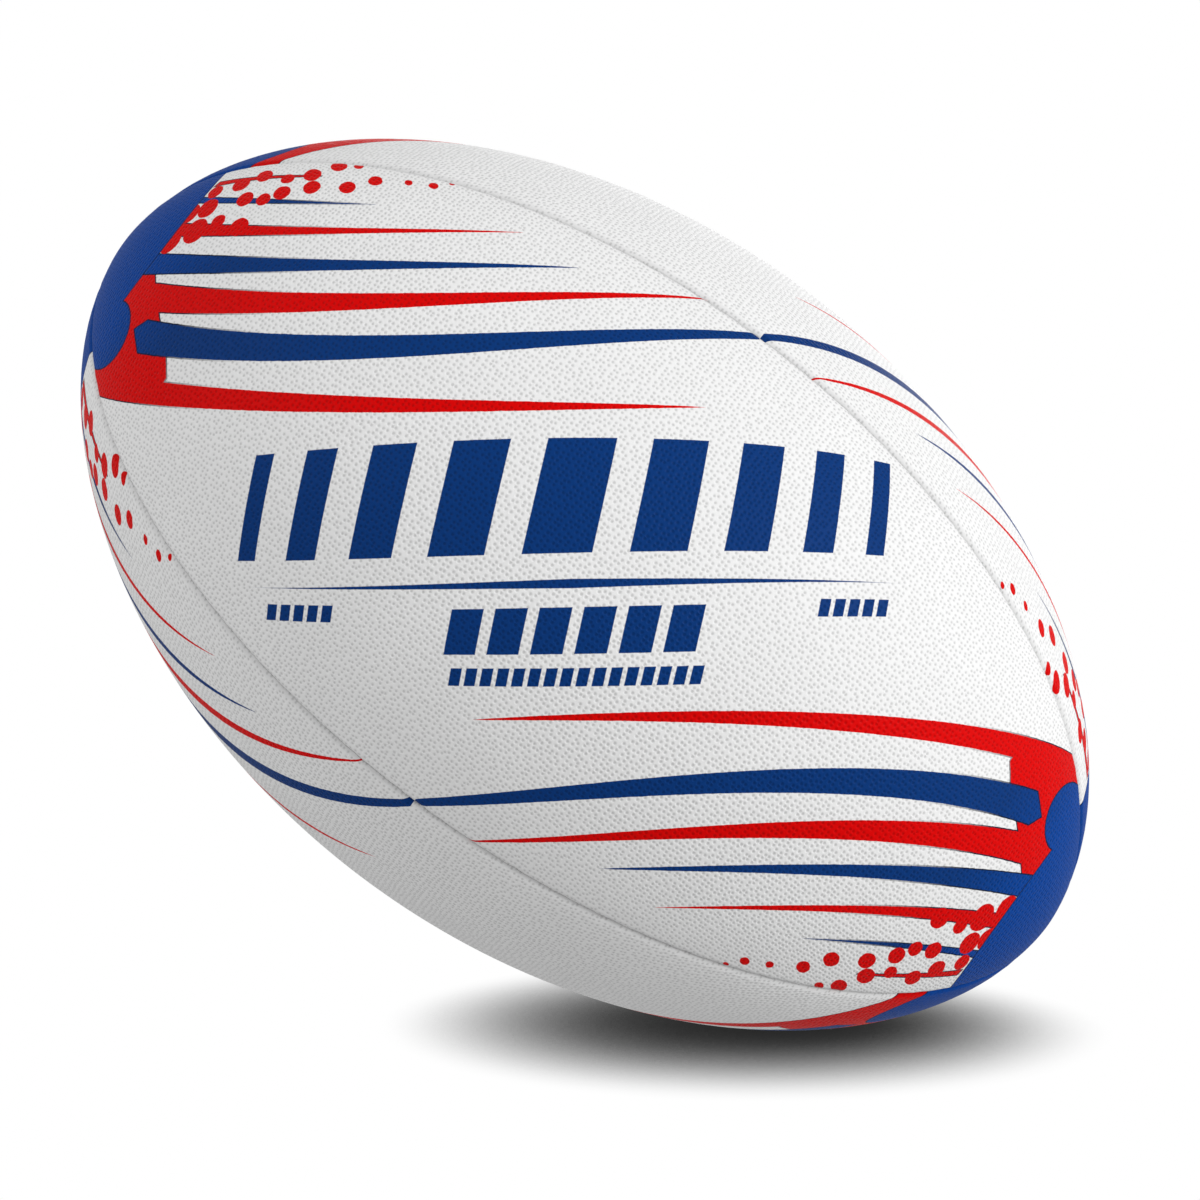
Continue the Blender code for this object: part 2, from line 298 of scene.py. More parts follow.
# The grip: small round pits in loose rows.
PIT_PITCH = 1.25  # mm
PIT_SCATTER = 0.45
PIT_REACH = 0.5  # of the pitch, where a pit's wall has risen to the full height
PIT_SHADE_REACH = 0.36  # likewise, where its painted shade ends
PIT_FLOOR = 0.08  # likewise, its flat bottom
PIT_DEPTH = 0.00015
PIT_PAINTED_SHADE = 0.74  # the painted shade in a pit, as a share of the panel's colour
PIT_MERGE = 0.15  # how far neighbouring pits run together
SEAM_PAINTED_SHADE = 0.88  # the painted shade in the seam's groove and round the valve, as a share of the panel's colour
UNEVEN_SCALE = 0.35
UNEVEN_RANGE = (0.2, 0.75)
UNEVEN_DEPTH = (0.65, 1.1)  # of the pits' depth, from place to place
GRAIN_SCALE = 6.0
GRAIN_DEPTH = 0.05  # of the pits' depth
MOTTLE_SCALE = 0.05
MOTTLE_TONE = 0.975
SKIN_ROUGHNESS = (0.46, 0.56)
INK_POLISH = 0.04  # how much less rough the ink is
SKIN_SHINE = 0.035


def line_distance(s, t, start, end):
    """How far a point is to the right of the line from start to end."""
    along = Vector(end) - Vector(start)
    across = Vector((along.y, -along.x)).normalized()
    offset = -across.dot(Vector(start))
    return s.apply("MULTIPLY_ADD", across.x, offset) + t * across.y


def polygon_distance(s, t, corners):
    """The distance outside a convex outline whose corners run anticlockwise."""
    sides = zip(corners, corners[1:] + corners[:1])
    lines = [line_distance(s, t, start, end) for start, end in sides]
    farthest = lines[0]
    for line in lines[1:]:
        farthest = farthest.most(line)
    return farthest


def stripe_distance(s, t, stripe):
    """The distance outside a stripe, across the panel or, past an end, along it."""
    (s0, t0), (s1, t1), (s2, t2), wide, narrow = stripe
    slope = (t1 - t0) / (s1 - s0)
    bend = ((t2 - t1) / (s2 - s1) - slope) / (s2 - s0)
    linear = slope - bend * (s0 + s1)
    level = t0 - slope * s0 + bend * s0 * s1
    middle = (s * bend + linear) * s + level
    left = ramp(s, s0, s2, 1, 0).apply("POWER", STRIPE_TAPER)
    width = left * (wide - narrow) + narrow
    ends = (s - s2).most(-s + s0)
    return ((t - middle).size() - width * 0.5).most(ends)


def dot_rows():
    """The red dots as (s, t, radius)."""
    chance = random.Random(DOT_SEED)
    longest = max(DOT_COUNTS) - 1
    for row, count in enumerate(DOT_COUNTS):
        for step in range(count):
            far = step * DOT_PITCH
            radius = DOT_RADIUS + (DOT_LAST_RADIUS - DOT_RADIUS) * step / longest
            radius *= chance.uniform(SMALLEST_SHARE, 1)
            s = DOT_START[0] + far + chance.uniform(-DOT_SCATTER, DOT_SCATTER)
            t = DOT_START[1] + row * DOT_ROW_GAP + far * DOT_CLIMB
            yield s, t + chance.uniform(-DOT_SCATTER, DOT_SCATTER), radius


def big_bars():
    """The large bars on one side of the middle one, as (distance from it, width)."""
    place = 0
    for number in range(BIG_BARS):
        width = BIG_BAR_WIDTH - number * BIG_BAR_STEP
        yield place, width
        place += width - BIG_BAR_STEP / 2 + BIG_BAR_GAP


def dot_distance(tree, place, dot):
    """The distance outside a round dot, given as (s, t, radius)."""
    node = tree.nodes.new("ShaderNodeVectorMath")
    node.operation = "DISTANCE"
    tree.links.new(place, node.inputs[0])
    node.inputs[1].default_value = (dot[0], dot[1], 0)
    return Term(tree, node.outputs["Value"]) - dot[2]


def graphic_distance(s, t):
    """The slanted bars that stand where a ball's maker puts a mark."""
    cosine, sine = math.cos(GRAPHIC_SLOPE), math.sin(GRAPHIC_SLOPE)
    along = s * cosine + t * sine
    level = t * cosine - s * sine
    middle, height = BIG_MIDDLE
    place = (along - middle - (level - height) * LEAN).size()
    bars = union([(place - far).size() - width / 2 for far, width in big_bars()])
    parts = [bars.most((level - height).size() - BIG_HEIGHT / 2)]
    middle, height, length, width = UNDERLINE
    taper = (along - middle).size() * (width / length)
    parts.append((level - height).size() + taper - width / 2)
    for middle, height, tall, count, pitch, width in BAR_ROWS:
        place = along - middle - (level - height) * LEAN
        offset = 0 if count % 2 else pitch / 2
        nearest = (place + offset).apply("PINGPONG", pitch / 2)
        bars = nearest - width / 2
        row = ((level - height).size() - tall / 2).most(place.size() - count * pitch / 2)
        parts.append(bars.most(row))
    return union(parts)


def ink(distance, blur=INK_BLUR):
    """One inside an edge and zero outside it."""
    return ramp(distance, blur / 2, -blur / 2)


def print_color(tree, s, t, place, has_graphic, has_valve):
    """The colour of the print, and how much of a point is inked."""
    half = s.apply("SIGN")
    u = -(s * half)
    v = -(t * half)
    wobble = noise(tree, place, RAGGED_SCALE, detail=3, roughness=0.6) - 0.5
    folded = tree.nodes.new("ShaderNodeCombineXYZ")
    tree.links.new(u.socket, folded.inputs["X"])
    tree.links.new(v.socket, folded.inputs["Y"])

    red = union(
        [stripe_distance(u, v, stripe) for stripe in RED_STRIPES]
        + [polygon_distance(u, v, block) for block in RED_BLOCKS]
    )
    blue = [stripe_distance(u, v, stripe) for stripe in BLUE_STRIPES]
    for start, end in BLUE_POINT_CUTS:
        blue[-1] = blue[-1].most(line_distance(u, v, start, end))
    blue = union(blue)
    flat = folded.outputs["Vector"]
    end = (u - BLUE_END_PLACE + v * v * BLUE_END_BEND).least(dot_distance(tree, flat, BLUE_LOBE))
    dots = union([dot_distance(tree, flat, dot) for dot in dot_rows()])

    blue_ink = mix(tree, ramp(u, BLUE_END_PLACE + BLUE_FADE, BLUE_END_PLACE), BLUE, END_BLUE)
    ragged = wobble * RAGGED
    near_end = ink(u - OUTLINE_REACH, OUTLINE_FADE)
    lined = [ink(edge + ragged - OUTLINE_WIDTH).least(near_end) for edge in (red, blue, end)]
    color = mix(tree, lined[0], WHITE, OUTLINE)
    color = mix(tree, ink(red + ragged), color, RED)
    color = mix(tree, lined[1], color, OUTLINE)
    color = mix(tree, ink(blue + ragged), color, blue_ink)
    color = mix(tree, ink(dots + ragged * RAGGED_DOTS), color, RED)
    color = mix(tree, lined[2], color, OUTLINE)
    color = mix(tree, ink(end + ragged), color, blue_ink)
    inked = ink(union([red, blue, dots, end]))
    if not has_graphic:
        return color, inked
    graphic = graphic_distance(s, t)
    if has_valve:
        clearing = tree.nodes.new("ShaderNodeVectorMath")
        clearing.operation = "LENGTH"
        tree.links.new(place, clearing.inputs[0])
        graphic = graphic.most(-Term(tree, clearing.outputs["Value"]) + VALVE_CLEARING)
    color = mix(tree, ink(graphic + ragged * RAGGED_GRAPHIC), color, BLUE)
    return color, inked.most(ink(graphic))


def skin_material(name, has_graphic, has_valve):
    """White rubber with the print, pits wherever the mesh's grip says so, and painted shade in the
    pits and the seams.
    """
    made, tree, shader = new_material(name)
    uv = tree.nodes.new("ShaderNodeUVMap")
    uv.uv_map = "Panel"
    parts = tree.nodes.new("ShaderNodeSeparateXYZ")
    tree.links.new(uv.outputs["UV"], parts.inputs["Vector"])
    s = Term(tree, parts.outputs["X"])
    t = Term(tree, parts.outputs["Y"])
    place = uv.outputs["UV"]
    color, inked = print_color(tree, s, t, place, has_graphic, has_valve)

    grip = tree.nodes.new("ShaderNodeAttribute")
    grip.attribute_name = "grip"
    cells = tree.nodes.new("ShaderNodeTexVoronoi")
    cells.voronoi_dimensions = "2D"
    cells.feature = "SMOOTH_F1"
    cells.inputs["Scale"].default_value = 1 / PIT_PITCH
    cells.inputs["Smoothness"].default_value = PIT_MERGE
    cells.inputs["Randomness"].default_value = PIT_SCATTER
    tree.links.new(place, cells.inputs["Vector"])
    away = Term(tree, cells.outputs["Distance"])
    raised = ramp(away, PIT_FLOOR, PIT_REACH, smooth=True)
    uneven = noise(tree, place, UNEVEN_SCALE, detail=2)
    grain = noise(tree, place, GRAIN_SCALE, detail=2)
    height = raised * ramp(uneven, *UNEVEN_RANGE, *UNEVEN_DEPTH)
    height = height * Term(tree, grip.outputs["Fac"]) + grain * GRAIN_DEPTH
    add_bump(tree, shader, height, PIT_DEPTH)

    # Painted shade: each pit's colour is darkened towards its middle, and this is then mixed with
    # the random mottle.
    painted_shade = ramp(away, PIT_FLOOR, PIT_SHADE_REACH, PIT_PAINTED_SHADE, 1, smooth=True)
    # Painted shade in the seam's groove and on the smooth ring round the valve, wherever the grip
    # is low.
    painted_shade = painted_shade * ramp(Term(tree, grip.outputs["Fac"]), 0, 1, SEAM_PAINTED_SHADE, 1)
    patches = noise(tree, place, MOTTLE_SCALE, detail=4)
    mottle_and_painted_shade = ramp(patches, *NOISE_RANGE, MOTTLE_TONE, 1.0) * painted_shade
    shade = tree.nodes.new("ShaderNodeMix")
    shade.data_type = "RGBA"
    shade.blend_type = "MULTIPLY"
    shade.inputs[0].default_value = 1
    tree.links.new(color, shade.inputs[6])
    tree.links.new(mottle_and_painted_shade.socket, shade.inputs[7])
    tree.links.new(shade.outputs[2], shader.inputs["Base Color"])
    rough = ramp(grain, *NOISE_RANGE, *SKIN_ROUGHNESS) + inked * -INK_POLISH
    tree.links.new(rough.socket, shader.inputs["Roughness"])
    shader.inputs["Specular IOR Level"].default_value = SKIN_SHINE
    return made


# Materials of the other pieces, in metres. A roughness that varies is (lowest, highest).

YARN_EDGE = 0.05  # how sharply the warp gives way to the weft
FUZZ_SCALE = 2500
FUZZ_SHADE = 0.3  # of a yarn's height, in the weave's shading
FUZZ_HEIGHT = 0.2  # likewise, in its relief
CLOTH_SHADED = (0.3, 1.1)  # the heights between which the weave goes from dark to clear
CLOTH_GAP_SHADE = 0.6
CLOTH_ROUGHNESS = (0.78, 0.95)
CLOTH_SHEEN = 0.2
CLOTH_RELIEF = 0.0002
TWIST_LEAN = 0.7
WAX_SCALE = 1500
WAX_HEIGHT = 0.3  # of the twist's height
THREAD_SHADED = (0, 1.4)  # likewise for the twist
THREAD_SHADE = 0.7
THREAD_ROUGHNESS = (0.38, 0.6)
THREAD_RELIEF = 0.00006
BLOOM_SCALE = 140
BLOOM_RANGE = (0.35, 0.8)
BLOOM_SHARE = 0.07
BLOOM_GREY = 0.5
BLOOM_SWING = 0.06  # how far the roughness varies either way


def object_place(tree):
    """The place on the object in metres, whole and as its three parts."""
    node = tree.nodes.new("ShaderNodeTexCoord")
    parts = tree.nodes.new("ShaderNodeSeparateXYZ")
    tree.links.new(node.outputs["Object"], parts.inputs["Vector"])
    x, y, z = (Term(tree, parts.outputs[axis]) for axis in "XYZ")
    return node.outputs["Object"], x, y, z


def cloth_material(name, warp, weft, pitch):
    """A plain weave that follows the ball round its long axis."""
    made, tree, shader = new_material(name)
    place, x, y, z = object_place(tree)
    along = x * (math.pi / pitch)
    across = z.apply("ARCTAN2", y) * (RADIUS * math.pi / pitch)
    warp_yarn = along.apply("SINE").size()
    weft_yarn = across.apply("SINE").size()
    over = ramp((along * 0.5).apply("SINE") * (across * 0.5).apply("SINE"), -YARN_EDGE, YARN_EDGE)
    height = warp_yarn * over + weft_yarn * (-over + 1)
    fuzz = noise(tree, place, FUZZ_SCALE, detail=3)
    color = mix(tree, over, weft, warp)
    dark = tuple(c * CLOTH_GAP_SHADE for c in weft)
    shaded = mix(tree, ramp(height + fuzz * FUZZ_SHADE, *CLOTH_SHADED), dark, color)
    tree.links.new(shaded, shader.inputs["Base Color"])
    tree.links.new(ramp(fuzz, *NOISE_RANGE, *CLOTH_ROUGHNESS).socket, shader.inputs["Roughness"])
    shader.inputs["Sheen Weight"].default_value = CLOTH_SHEEN
    add_bump(tree, shader, height + fuzz * FUZZ_HEIGHT, CLOTH_RELIEF)
    return made


def thread_material(name, color, pitch):
    """A waxed thread with its twist showing."""
    made, tree, shader = new_material(name)
    place, x, y, z = object_place(tree)
    twist = ((x + y + z * TWIST_LEAN) * (2 * math.pi / pitch)).apply("SINE")
    wax = noise(tree, place, WAX_SCALE, detail=3)
    dark = tuple(c * THREAD_SHADE for c in color)
    shaded = mix(tree, ramp(twist + wax, *THREAD_SHADED), dark, color)
    tree.links.new(shaded, shader.inputs["Base Color"])
    tree.links.new(ramp(wax, *NOISE_RANGE, *THREAD_ROUGHNESS).socket, shader.inputs["Roughness"])
    add_bump(tree, shader, twist + wax * WAX_HEIGHT, THREAD_RELIEF)
    return made


def rubber_material(name, color, roughness, grain_scale, grain_height):
    """Moulded rubber with a fine grain, a little bloom and a dull polish.

    The grain's scale is per metre, and its height is in metres.
    """
    made, tree, shader = new_material(name)
    place = object_place(tree)[0]
    grain = noise(tree, place, grain_scale, detail=3)
    bloom = noise(tree, place, BLOOM_SCALE, detail=4, roughness=0.6)
    pale = tuple(c + (BLOOM_GREY - c) * BLOOM_SHARE for c in color)
    shaded = mix(tree, ramp(bloom, *BLOOM_RANGE), color, pale)
    tree.links.new(shaded, shader.inputs["Base Color"])
    rough = ramp(bloom, *NOISE_RANGE, roughness - BLOOM_SWING, roughness + BLOOM_SWING)
    tree.links.new(rough.socket, shader.inputs["Roughness"])
    add_bump(tree, shader, grain, grain_height)
    return made


# The panels


def rounded(corners):
    """An outline as (radius, depth), with an arc at each right angle that has a size."""
    points = []
    for index, (radius, depth, size) in enumerate(corners):
        if not size:
            points.append((radius, depth))
            continue
        corner = Vector((radius, depth))
        after = corners[(index + 1) % len(corners)]
        back = (Vector(corners[index - 1][:2]) - corner).normalized() * size
        ahead = (Vector(after[:2]) - corner).normalized() * size
        for step in range(ARC_STEPS + 1):
            bend = math.pi / 2 * step / ARC_STEPS
            point = corner + back * (1 - math.sin(bend)) + ahead * (1 - math.cos(bend))
            points.append(tuple(point))
    return points


def profile(turn):
    """The profile's point as (along X, away from X), and its outward direction."""
    power = 2 * PROFILE_POWER
    along = HALF_LENGTH * math.sin(turn)
    away = RADIUS * math.cos(turn) ** power
    along_rate = HALF_LENGTH * math.cos(turn)
    away_rate = -power * RADIUS * math.cos(turn) ** (power - 1) * math.sin(turn)
    return Vector((along, away)), Vector((-away_rate, along_rate)).normalized()


def measure_profile():
    """Turns from the middle to a tip, and the length of surface up to each of them."""
    turns = np.linspace(0, LAST_TURN, LENGTH_SAMPLES)
    points = np.array([profile(turn)[0] for turn in turns])
    steps = np.linalg.norm(np.diff(points, axis=0), axis=1)
    return turns, np.concatenate(([0], np.cumsum(steps)))


TURNS, LENGTHS = measure_profile()
HALF_SPAN = float(LENGTHS[-1])


def turn_at(s):
    """The profile's turn at a length of surface from the middle."""
    return math.copysign(float(np.interp(abs(s), LENGTHS, TURNS)), s)


def surface_point(s, angle, depth):
    point, outward = profile(turn_at(s))
    along, away = point - outward * depth
    return Vector((along, -away * math.cos(angle), away * math.sin(angle)))


def edge_angle(away):
    """How far round the axis a panel reaches from its middle."""
    return HALF_PANEL - math.asin(SEAM_GAP / away)


def row_place(s, row):
    """The angle and depth of a row of the outside, and its distance from the seam."""
    away = profile(turn_at(s))[0].y
    half_width = away * edge_angle(away)
    shoulder = min(SHOULDER_WIDTH, SHOULDER_SHARE * half_width)
    share = shoulder / SHOULDER_WIDTH
    step = abs(row)
    if step <= MIDDLE_ROWS:
        across = (half_width - shoulder) * step / MIDDLE_ROWS
        depth = 0
    else:
        bend = math.pi / 2 * (step - MIDDLE_ROWS) / SHOULDER_ROWS
        across = half_width - shoulder * (1 - math.sin(bend))
        depth = SHOULDER_DEPTH * share * (1 - math.cos(bend))
    gap = half_width - across
    pucker = 1 + PUCKER * math.sin(2 * math.pi * s / PUCKER_PITCH)
    depth = depth * pucker + PILLOW_DEPTH * share * pucker * math.exp(-gap / PILLOW_REACH)
    return math.copysign(across / away, row), depth, gap


def grip_at(gap, s, t, has_valve):
    """The share of the pits' full depth: none in the seam or round the valve."""
    grip = min(1, max(0, (gap - SMOOTH_BY_SEAM) / SEAM_FADE))
    if has_valve:
        grip = min(grip, max(0, (math.hypot(s, t) - SMOOTH_BY_VALVE) / VALVE_FADE))
    return grip


class PanelMesh:
    """A panel as one closed shell, facing -Y, with a place (s, t) kept for each vertex."""

    def __init__(self, has_valve):
        self.has_valve = has_valve
        self.bm = bmesh.new()
        self.grips = []
        self.places = []
        self.inner = []

    def vertex(self, s, angle, depth, gap=FAR_FROM_SEAM, inner=False):
        away = profile(turn_at(s))[0].y
        self.places.append((s, away * angle))
        self.grips.append(grip_at(gap, s, away * angle, self.has_valve))
        self.inner.append(inner)
        return self.bm.verts.new(surface_point(s, angle, depth))

    def column(self, s):
        rows = [row_place(s, row) for row in range(-EDGE_ROW, EDGE_ROW + 1)]
        outside = [self.vertex(s, angle, depth, gap) for angle, depth, gap in rows]
        inside = [self.vertex(s, angle, SKIN_THICKNESS, inner=True) for angle, _, _ in rows]
        return outside, inside

    def face(self, corners):
        self.bm.faces.new(corners)

    def build(self):
        columns = [
            self.column(HALF_SPAN * (2 * index / COLUMNS - 1)) for index in range(COLUMNS + 1)
        ]
        middle = COLUMNS // 2
        last = 2 * EDGE_ROW
        for index, ((left, left_in), (right, right_in)) in enumerate(zip(columns, columns[1:])):
            near_hole = self.has_valve and middle - HOLE_COLUMNS <= index < middle + HOLE_COLUMNS
            for row in range(last):
                if near_hole and EDGE_ROW - HOLE_ROWS <= row < EDGE_ROW + HOLE_ROWS:
                    continue
                self.face((left[row], right[row], right[row + 1], left[row + 1]))
                self.face((left_in[row], left_in[row + 1], right_in[row + 1], right_in[row]))
            self.face((left[0], left_in[0], right_in[0], right[0]))
            self.face((left[last], right[last], right_in[last], left_in[last]))
        for outside, inside in (columns[0], (columns[-1][1], columns[-1][0])):
            for row in range(last):
                self.face((outside[row], outside[row + 1], inside[row + 1], inside[row]))
        if self.has_valve:
            self.cut_hole(columns, middle)
        return self.bm

    def cut_hole(self, columns, middle):
        """Fills the square gap in both faces with rings that end on the round hole."""
        steps = [(HOLE_COLUMNS, row) for row in range(-HOLE_ROWS, HOLE_ROWS)]
        steps += [(-column, HOLE_ROWS) for column in range(-HOLE_COLUMNS, HOLE_COLUMNS)]
        steps += [(-HOLE_COLUMNS, -row) for row in range(-HOLE_ROWS, HOLE_ROWS)]
        steps += [(column, -HOLE_ROWS) for column in range(-HOLE_COLUMNS, HOLE_COLUMNS)]
        squares = [
            [columns[middle + column][side][EDGE_ROW + row] for column, row in steps]
            for side in (0, 1)
        ]
        corner_angles = [math.atan2(v.co.z, v.co.x) for v in squares[0]]
        angles = []
        for start, end in zip(corner_angles, corner_angles[1:] + corner_angles[:1]):
            turn = (end - start) % (2 * math.pi)
            angles += [start + turn * split / HOLE_SPLITS for split in range(HOLE_SPLITS)]
        rings = [
            [
                self.vertex(radius * math.cos(a), radius * math.sin(a) / RADIUS, depth,
                            inner=depth == SKIN_THICKNESS)
                for a in angles
            ]
            for radius, depth in rounded(HOLE_CORNERS)
        ]
        count = len(angles)
        for ring, next_ring in zip(rings, rings[1:]):
            for index in range(count):
                after = (index + 1) % count
                self.face((ring[index], ring[after], next_ring[after], next_ring[index]))
        for square, ring, outside in ((squares[0], rings[0], True), (squares[1], rings[-1], False)):
            for index, corner in enumerate(square):
                after = square[(index + 1) % len(square)]
                start = index * HOLE_SPLITS
                arc = [ring[(start + split) % count] for split in range(HOLE_SPLITS + 1)]
                loop = [corner, after, *reversed(arc)]
                self.face(loop if outside else list(reversed(loop)))


# The bake layout: the outside fills the sheet up to here, and the inside lies above it.
BAKE_OUTSIDE = 0.84
BAKE_MARGIN = 0.01


def bake_place(s, t, inner, on_rim):
    """Where a point goes on the bake sheet, so that no two faces share a place."""
    u = BAKE_MARGIN + (1 - 2 * BAKE_MARGIN) * (s / HALF_SPAN + 1) / 2
    across = (t / (RADIUS * HALF_PANEL) + 1) / 2
    if not inner and not on_rim:
        return u, BAKE_MARGIN + (BAKE_OUTSIDE - 2 * BAKE_MARGIN) * across
    return u, BAKE_OUTSIDE + (1 - BAKE_OUTSIDE - BAKE_MARGIN) * across


def make_panel(name, turn, material, has_valve):
    panel = PanelMesh(has_valve)
    bm = panel.build()
    bm.verts.index_update()
    panel_uv = bm.loops.layers.uv.new("Panel")
    bake_uv = bm.loops.layers.uv.new("OFBake")
    grip = bm.verts.layers.float.new("grip")
    for vert, value in zip(bm.verts, panel.grips):
        vert[grip] = value
    for face in bm.faces:
        below = any(panel.inner[v.index] for v in face.verts)
        for loop in face.loops:
            s, t = panel.places[loop.vert.index]
            loop[panel_uv].uv = (s * MM, t * MM)
            loop[bake_uv].uv = bake_place(s, t, below, below)
    mesh = bpy.data.meshes.new(name)
    bm.to_mesh(mesh)
    bm.free()
    mesh.transform(Matrix.Rotation(-math.radians(turn), 4, "X"))
    mesh.materials.append(material)
    mesh.shade_smooth()
    mesh.set_sharp_from_angle(angle=PANEL_SHARP_ANGLE)
    return add_piece(name, mesh)


def add_piece(name, data):
    obj = bpy.data.objects.new(name, data)
    bpy.context.scene.collection.objects.link(obj)
    return obj


def make_panels():
    striped = skin_material("striped_rubber", has_graphic=False, has_valve=False)
    materials = {
        "front": skin_material("printed_rubber", has_graphic=True, has_valve=False),
        "top": striped,
        "back": skin_material("printed_rubber_with_valve", has_graphic=True, has_valve=True),
        "bottom": striped,
    }
    for name, turn in PANELS.items():
        panel = make_panel(f"{name}_panel_cover", turn, materials[name], name == VALVE_PANEL)
        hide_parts(f"panel_{name}_skin")
        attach(panel, "root")


# The valve, turned about the Y axis. Depths are measured down from the ball's surface. The
# corners go once round the solid rubber on one side of the axis, from the top of the bore
# outwards, as (radius, depth, size of the rounding).

VALVE_SIDES = 64
VALVE_SHARP_ANGLE = math.radians(40)
VALVE_ROUNDING = 0.0002
NOSE_ROUNDING = 0.00025
NOSE_RADIUS = 0.0036
NOSE_DEPTH = 0.00025
STEM_RADIUS = 0.005
STEM_TOP = 0.0024
STEM_BOTTOM = 0.015
FLANGE_RADIUS = 0.0105
FLANGE_TOP = 0.0074
FLANGE_BOTTOM = 0.0089
BORE_RADIUS = 0.0026
CHAMBER_RADIUS = 0.0036
CHAMBER_TOP = 0.006
CHAMBER_BOTTOM = 0.0095
HOUSING_CORNERS = (
    (BORE_RADIUS, NOSE_DEPTH, VALVE_ROUNDING),
    (NOSE_RADIUS, NOSE_DEPTH, NOSE_ROUNDING),
    (NOSE_RADIUS, STEM_TOP, 0),
    (STEM_RADIUS, STEM_TOP, 0),
    (STEM_RADIUS, FLANGE_TOP, 0),
    (FLANGE_RADIUS, FLANGE_TOP, VALVE_ROUNDING),
    (FLANGE_RADIUS, FLANGE_BOTTOM, VALVE_ROUNDING),
    (STEM_RADIUS, FLANGE_BOTTOM, 0),
    (STEM_RADIUS, STEM_BOTTOM, VALVE_ROUNDING),
    (BORE_RADIUS, STEM_BOTTOM, 0),
    (BORE_RADIUS, CHAMBER_BOTTOM, 0),
    (CHAMBER_RADIUS, CHAMBER_BOTTOM, 0),
    (CHAMBER_RADIUS, CHAMBER_TOP, 0),
    (BORE_RADIUS, CHAMBER_TOP, 0),
)
NEEDLE_RADIUS = 0.0006
PLUG_RADIUS = 0.0022
PLUG_TOP = 0.0007
PLUG_BOTTOM = 0.0142
BULB_RADIUS = 0.0032
BULB_TOP = 0.0066
BULB_BOTTOM = 0.0089
PLUG_CORNERS = (
    (NEEDLE_RADIUS, PLUG_TOP, VALVE_ROUNDING),
    (PLUG_RADIUS, PLUG_TOP, NOSE_ROUNDING),
    (PLUG_RADIUS, BULB_TOP, 0),
    (BULB_RADIUS, BULB_TOP, VALVE_ROUNDING),
    (BULB_RADIUS, BULB_BOTTOM, VALVE_ROUNDING),
    (PLUG_RADIUS, BULB_BOTTOM, 0),
    (PLUG_RADIUS, PLUG_BOTTOM, 0),
    (NEEDLE_RADIUS, PLUG_BOTTOM, 0),
)
HOUSING_BLACK = (0.02, 0.02, 0.022)
VALVE_RELIEF = 0.00002


def turned_mesh(name, corners):
    """A ring of solid rubber turned about the valve's axis, facing +Y."""
    bm = bmesh.new()
    rings = []
    for radius, depth in rounded(corners):
        spots = [2 * math.pi * side / VALVE_SIDES for side in range(VALVE_SIDES)]
        rings.append([
            bm.verts.new((radius * math.sin(a), RADIUS - depth, radius * math.cos(a)))
            for a in spots
        ])
    for ring, next_ring in zip(rings, rings[1:] + rings[:1]):
        for side in range(VALVE_SIDES):
            after = (side + 1) % VALVE_SIDES
            bm.faces.new((ring[side], next_ring[side], next_ring[after], ring[after]))
    bmesh.ops.recalc_face_normals(bm, faces=bm.faces)
    mesh = bpy.data.meshes.new(name)
    bm.to_mesh(mesh)
    bm.free()
    mesh.shade_smooth()
    mesh.set_sharp_from_angle(angle=VALVE_SHARP_ANGLE)
    return mesh


def make_valve():
    pieces = (
        ("valve_housing_body", HOUSING_CORNERS, "valve_housing",
         rubber_material("housing_rubber", HOUSING_BLACK, roughness=0.5, grain_scale=5000,
                         grain_height=VALVE_RELIEF)),
        ("valve_plug_body", PLUG_CORNERS, "valve_plug",
         rubber_material("plug_rubber", BLUE, roughness=0.45, grain_scale=6000,
                         grain_height=VALVE_RELIEF)),
    )
    for name, corners, node, material in pieces:
        mesh = turned_mesh(name, corners)
        mesh.materials.append(material)
        piece = add_piece(name, mesh)
        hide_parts(node)
        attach(piece, "root")


OUTER_PLY_YARNS = ((0.62, 0.58, 0.5), (0.5, 0.46, 0.39))  # warp and weft
LINING_YARNS = ((0.66, 0.66, 0.64), (0.52, 0.52, 0.5))
THREAD_COLOR = (0.72, 0.71, 0.68)
BLADDER_BLACK = (0.012, 0.012, 0.013)
PATCH_BLACK = (0.03, 0.03, 0.032)
OUTER_PLY_PITCH = 0.0009
LINING_PITCH = 0.0008
THREAD_PITCH = 0.0007


def finish_cad_nodes():
    """Gives each kind of CAD piece that stays its own procedural material."""
    made = {
        "outer_ply": cloth_material("outer_ply_cotton", *OUTER_PLY_YARNS, OUTER_PLY_PITCH),
        "lining": cloth_material("lining_cotton", *LINING_YARNS, LINING_PITCH),
        "seam_thread": thread_material("waxed_thread", THREAD_COLOR, THREAD_PITCH),
        "bladder": rubber_material("butyl_rubber", BLADDER_BLACK, roughness=0.42,
                                   grain_scale=1800, grain_height=0.00004),
        "valve_patch": rubber_material("patch_rubber", PATCH_BLACK, roughness=0.6,
                                       grain_scale=3500, grain_height=0.00003),
    }
    for name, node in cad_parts.items():
        for word, material in made.items():
            if word in name:
                node.data.materials.clear()
                node.data.materials.append(material)


# The studio. The camera sees the ball's long axis climbing to the left.

CAMERA_TILT = math.radians(3)  # below the horizontal plane through the axis
CAMERA_YAW = math.radians(0.7)
CAMERA_ROLL = math.radians(36.7)
CAMERA_DISTANCE = 0.533
CAMERA_SHIFT = (0.004, -0.004)
LENS = 62.3
SENSOR_WIDTH = 36
NEAR_CLIP = 0.01
FAR_CLIP = 50
FLOOR_TILT = math.radians(2)
FLOOR_SIZE = 6.0
FLOOR_GLOW = 0.54  # what lights the ball's underside
PROFILE_SAMPLES = 2001  # when looking for the ball's lowest point
SHADOW_REACH = 0.03
SHADOW_SAMPLES = 16
SHADOW_CORE = 0.02  # the openness at which the shadow is darkest
SHADOW_TONE = 0.02
WORLD_LIGHT = 0.57


